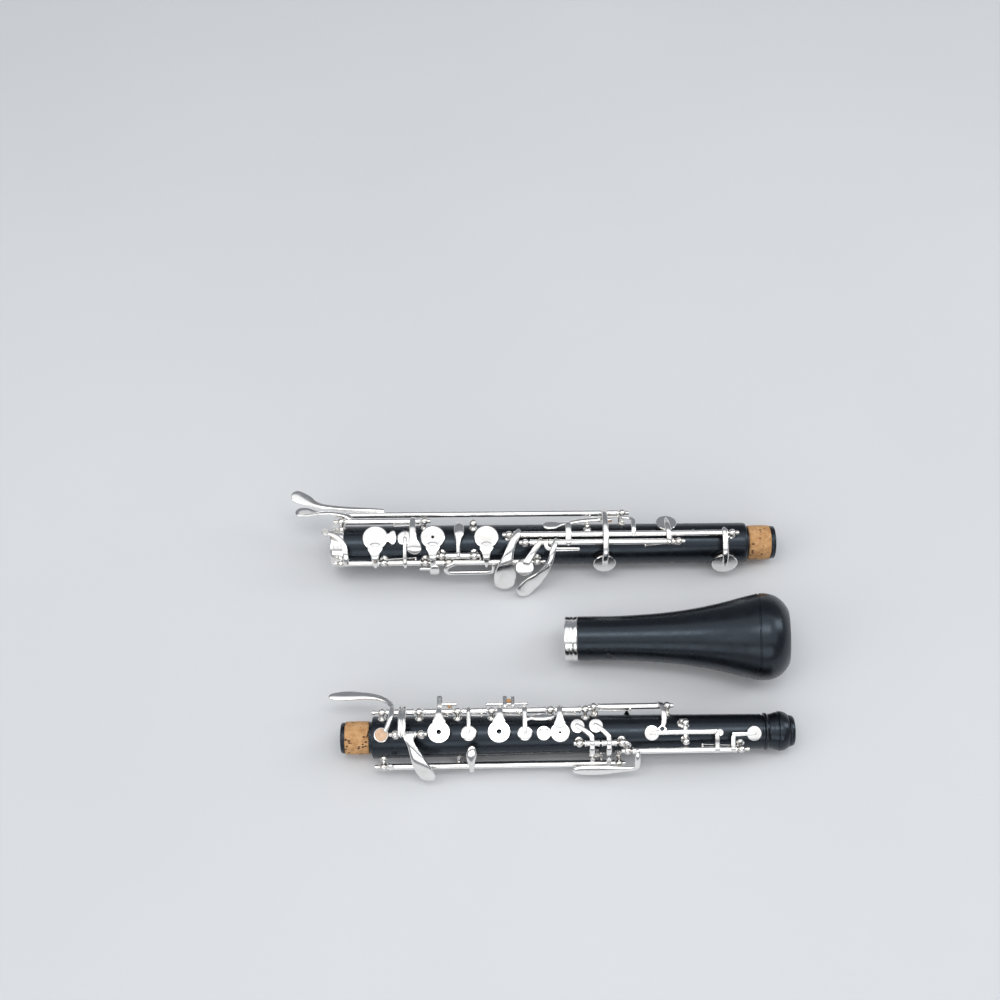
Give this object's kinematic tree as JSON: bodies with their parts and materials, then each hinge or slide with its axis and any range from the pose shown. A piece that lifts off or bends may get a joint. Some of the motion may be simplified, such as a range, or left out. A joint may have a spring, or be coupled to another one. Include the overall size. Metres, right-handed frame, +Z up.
{
  "type": "oboe",
  "caption": "Oboe laid out in its three sections: black upper joint, lower joint and bell, with silver keywork on posts and rods, pads, cork tenons and metal rings.",
  "frame": {"origin": "centre of the bottom of the three sections as they lie side by side", "axes": "+X along the sections from the upper joint tenon towards its reed end, +Y from the upper joint towards the lower joint, +Z up, with the plates facing up"},
  "size_m": [0.274, 0.162, 0.0465],
  "materials": {
    "black_resin": "satin black with fine turning marks",
    "silver_plate": "polished silver plate",
    "hinge_steel": "polished silver plate on posts, bright steel on rods",
    "cork": "bare cork with dark pores",
    "pad_leather": "tan leather and cork pads"
  },
  "bodies": {
    "lower_joint": {"lower_joint_body": "black_resin", "lower_joint_socket_ring": "silver_plate", "lower_joint_tenon_cork": "cork", "low_b_key_rod": "hinge_steel", "left_hand_lever_rod": "hinge_steel", "right_hand_stack_rod": "hinge_steel", "forked_f_rod": "hinge_steel", "low_c_key_rod": "hinge_steel", "e_flat_key_rod": "hinge_steel", "low_b_rocker_pivot": "hinge_steel", "thumb_rest": "silver_plate"},
    "bell": {"bell_body": "black_resin", "bell_ring": "silver_plate"},
    "upper_joint": {"upper_joint_body": "black_resin", "upper_joint_tenon_cork": "cork", "left_hand_stack_rod": "hinge_steel", "g_sharp_lever_rod": "hinge_steel", "trill_key_rod": "hinge_steel", "thumb_octave_rod": "hinge_steel", "side_octave_rod": "hinge_steel", "trill_lever_1_rod": "hinge_steel", "trill_lever_2_rod": "hinge_steel", "octave_rocker_pivot": "hinge_steel"},
    "g_sharp_lever": {"g_sharp_lever": "silver_plate"},
    "g_sharp_pad_key": {"g_sharp_pad_key": "silver_plate", "g_sharp_key_pad": "pad_leather"},
    "a_plate_key": {"a_plate_key": "silver_plate", "a_plate_pad": "pad_leather"},
    "a_vent_key": {"a_vent_key": "silver_plate"},
    "b_plate_key": {"b_plate_key": "silver_plate", "b_plate_pad": "pad_leather"},
    "c_vent_key": {"c_vent_key": "silver_plate"},
    "half_hole_plate_key": {"half_hole_plate_key": "silver_plate", "half_hole_plate_pad": "pad_leather"},
    "d_trill_key": {"d_trill_key": "silver_plate"},
    "c_trill_key": {"c_trill_key": "silver_plate"},
    "d_trill_lever": {"d_trill_lever": "silver_plate"},
    "c_trill_lever": {"c_trill_lever": "silver_plate"},
    "thumb_octave_key": {"thumb_octave_key": "silver_plate"},
    "side_octave_key": {"side_octave_key": "silver_plate"},
    "low_b_key": {"low_b_key": "silver_plate", "low_b_key_pad": "pad_leather"},
    "left_hand_lever": {"left_hand_lever": "silver_plate"},
    "f_sharp_plate_key": {"f_sharp_plate_key": "silver_plate", "f_sharp_plate_pad": "pad_leather"},
    "f_sharp_vent_key": {"f_sharp_vent_key": "silver_plate"},
    "e_plate_key": {"e_plate_key": "silver_plate", "e_plate_pad": "pad_leather"},
    "d_plate_key": {"d_plate_key": "silver_plate", "d_plate_pad": "pad_leather"},
    "forked_f_key": {"forked_f_key": "silver_plate"},
    "low_c_key": {"low_c_key": "silver_plate", "low_c_key_pad": "pad_leather"},
    "c_sharp_key": {"c_sharp_key": "silver_plate"},
    "e_flat_key": {"e_flat_key": "silver_plate", "e_flat_key_pad": "pad_leather"},
    "octave_rocker": {"octave_rocker": "silver_plate"},
    "low_b_rocker": {"low_b_rocker": "silver_plate"}
  },
  "joints": [
    {"name": "bell_lift", "type": "slide", "parent": "lower_joint", "child": "bell", "axis": [0, 0, 1], "range_m": [0, 0.12]},
    {"name": "upper_joint_lift", "type": "slide", "parent": "lower_joint", "child": "upper_joint", "axis": [0, 0, 1], "range_m": [0, 0.12]},
    {"name": "g_sharp_lever_hinge", "type": "hinge", "parent": "upper_joint", "child": "g_sharp_lever", "pos_m": [-0.06911, -0.06171, 0.02461], "axis": [1, 0, 0], "range_deg": [0, 5], "stiffness_Nm_per_rad": 0.02, "springref_deg": -15},
    {"name": "g_sharp_pad_hinge", "type": "hinge", "parent": "upper_joint", "child": "g_sharp_pad_key", "pos_m": [-0.07311, -0.04893, 0.02348], "axis": [-1, 0, 0], "range_deg": [0, 5], "stiffness_Nm_per_rad": 0.02, "springref_deg": -15},
    {"name": "a_plate_hinge", "type": "hinge", "parent": "upper_joint", "child": "a_plate_key", "pos_m": [-0.05312, -0.04893, 0.02348], "axis": [1, 0, 0], "range_deg": [0, 3.5], "stiffness_Nm_per_rad": 0.02, "springref_deg": -15},
    {"name": "a_vent_hinge", "type": "hinge", "parent": "upper_joint", "child": "a_vent_key", "pos_m": [-0.03512, -0.04893, 0.02348], "axis": [1, 0, 0], "range_deg": [0, 3], "stiffness_Nm_per_rad": 0.02, "springref_deg": -15},
    {"name": "b_plate_hinge", "type": "hinge", "parent": "upper_joint", "child": "b_plate_key", "pos_m": [-0.01811, -0.04893, 0.02348], "axis": [1, 0, 0], "range_deg": [0, 3.5], "stiffness_Nm_per_rad": 0.02, "springref_deg": -15},
    {"name": "c_vent_hinge", "type": "hinge", "parent": "upper_joint", "child": "c_vent_key", "pos_m": [-0.00511, -0.04893, 0.02348], "axis": [1, 0, 0], "range_deg": [0, 3], "stiffness_Nm_per_rad": 0.02, "springref_deg": -15},
    {"name": "half_hole_plate_hinge", "type": "hinge", "parent": "upper_joint", "child": "half_hole_plate_key", "pos_m": [0.01489, -0.04893, 0.02348], "axis": [1, 0, 0], "range_deg": [0, 3], "stiffness_Nm_per_rad": 0.02, "springref_deg": -15},
    {"name": "d_trill_hinge", "type": "hinge", "parent": "upper_joint", "child": "d_trill_key", "pos_m": [0.02688, -0.06709, 0.02185], "axis": [1, 0, 0], "range_deg": [0, 4.5], "stiffness_Nm_per_rad": 0.02, "springref_deg": -15},
    {"name": "c_trill_hinge", "type": "hinge", "parent": "upper_joint", "child": "c_trill_key", "pos_m": [0.03569, -0.06709, 0.02185], "axis": [1, 0, 0], "range_deg": [0, 4.5], "stiffness_Nm_per_rad": 0.02, "springref_deg": -15},
    {"name": "d_trill_lever_hinge", "type": "hinge", "parent": "upper_joint", "child": "d_trill_lever", "pos_m": [-0.00511, -0.07129, 0.00271], "axis": [-1, 0, 0], "range_deg": [0, 4.5], "stiffness_Nm_per_rad": 0.02, "springref_deg": -15},
    {"name": "c_trill_lever_hinge", "type": "hinge", "parent": "upper_joint", "child": "c_trill_lever", "pos_m": [-0.02111, -0.07367, 0.00845], "axis": [-1, 0, 0], "range_deg": [0, 6], "stiffness_Nm_per_rad": 0.02, "springref_deg": -15},
    {"name": "thumb_octave_hinge", "type": "hinge", "parent": "upper_joint", "child": "thumb_octave_key", "pos_m": [0.04788, -0.04605, 0.01911], "axis": [-1, 0, 0], "range_deg": [0, 2], "stiffness_Nm_per_rad": 0.02, "springref_deg": -15},
    {"name": "side_octave_hinge", "type": "hinge", "parent": "upper_joint", "child": "side_octave_key", "pos_m": [0.07488, -0.07073, 0.01917], "axis": [1, 0, 0], "range_deg": [0, 3], "stiffness_Nm_per_rad": 0.02, "springref_deg": -15},
    {"name": "low_b_hinge", "type": "hinge", "parent": "lower_joint", "child": "low_b_key", "pos_m": [-0.02907, 0.06838, 0.02403], "axis": [0.9999, 0, -0.0157], "range_deg": [0, 3], "stiffness_Nm_per_rad": 0.02, "springref_deg": -15},
    {"name": "left_hand_lever_hinge", "type": "hinge", "parent": "lower_joint", "child": "left_hand_lever", "pos_m": [-0.085, 0.06229, 0.02859], "axis": [0.9999, 0, -0.0157], "range_deg": [0, 4], "stiffness_Nm_per_rad": 0.02, "springref_deg": -15},
    {"name": "f_sharp_plate_hinge", "type": "hinge", "parent": "lower_joint", "child": "f_sharp_plate_key", "pos_m": [-0.09613, 0.04024, 0.02091], "axis": [-0.9999, 0, 0.0157], "range_deg": [0, 3.5], "stiffness_Nm_per_rad": 0.02, "springref_deg": -15},
    {"name": "f_sharp_vent_hinge", "type": "hinge", "parent": "lower_joint", "child": "f_sharp_vent_key", "pos_m": [-0.07313, 0.04024, 0.02055], "axis": [-0.9999, 0, 0.0157], "range_deg": [0, 3], "stiffness_Nm_per_rad": 0.02, "springref_deg": -15},
    {"name": "e_plate_hinge", "type": "hinge", "parent": "lower_joint", "child": "e_plate_key", "pos_m": [-0.05513, 0.04024, 0.02026], "axis": [-0.9999, 0, 0.0157], "range_deg": [0, 3.5], "stiffness_Nm_per_rad": 0.02, "springref_deg": -15},
    {"name": "d_plate_hinge", "type": "hinge", "parent": "lower_joint", "child": "d_plate_key", "pos_m": [-0.02413, 0.04024, 0.01978], "axis": [-0.9999, 0, 0.0157], "range_deg": [0, 3.5], "stiffness_Nm_per_rad": 0.02, "springref_deg": -15},
    {"name": "forked_f_hinge", "type": "hinge", "parent": "lower_joint", "child": "forked_f_key", "pos_m": [-0.04308, 0.0427, 0.0234], "axis": [-0.9999, 0, 0.0157], "range_deg": [0, 4], "stiffness_Nm_per_rad": 0.02, "springref_deg": -15},
    {"name": "low_c_hinge", "type": "hinge", "parent": "lower_joint", "child": "low_c_key", "pos_m": [0.048, 0.05246, 0.0279], "axis": [0.9999, 0, -0.0157], "range_deg": [0, 3], "stiffness_Nm_per_rad": 0.02, "springref_deg": -15},
    {"name": "c_sharp_hinge", "type": "hinge", "parent": "lower_joint", "child": "c_sharp_key", "pos_m": [0.00199, 0.04811, 0.0275], "axis": [0.9999, 0, -0.0157], "range_deg": [0, 3], "stiffness_Nm_per_rad": 0.02, "springref_deg": -15},
    {"name": "e_flat_hinge", "type": "hinge", "parent": "lower_joint", "child": "e_flat_key", "pos_m": [0.04299, 0.04811, 0.02685], "axis": [0.9999, 0, -0.0157], "range_deg": [0, 4.5], "stiffness_Nm_per_rad": 0.02, "springref_deg": -15},
    {"name": "octave_rocker_hinge", "type": "hinge", "parent": "upper_joint", "child": "octave_rocker", "pos_m": [0.07588, -0.06222, 0.02283], "axis": [0, 0.9469, 0.3214], "range_deg": [0, 2.4], "stiffness_Nm_per_rad": 0.02, "springref_deg": -15},
    {"name": "low_b_rocker_hinge", "type": "hinge", "parent": "lower_joint", "child": "low_b_rocker", "pos_m": [0.02955, 0.06123, 0.02479], "axis": [0.0082, -0.8526, 0.5224], "range_deg": [0, 4], "stiffness_Nm_per_rad": 0.02, "springref_deg": -15}
  ],
  "couplings": [
    {"joint": "g_sharp_pad_hinge", "follows": "g_sharp_lever_hinge", "ratio": 1},
    {"joint": "d_trill_hinge", "follows": "d_trill_lever_hinge", "ratio": 1},
    {"joint": "c_trill_hinge", "follows": "c_trill_lever_hinge", "ratio": 0.75},
    {"joint": "octave_rocker_hinge", "follows": "thumb_octave_hinge", "ratio": 1.2}
  ]
}
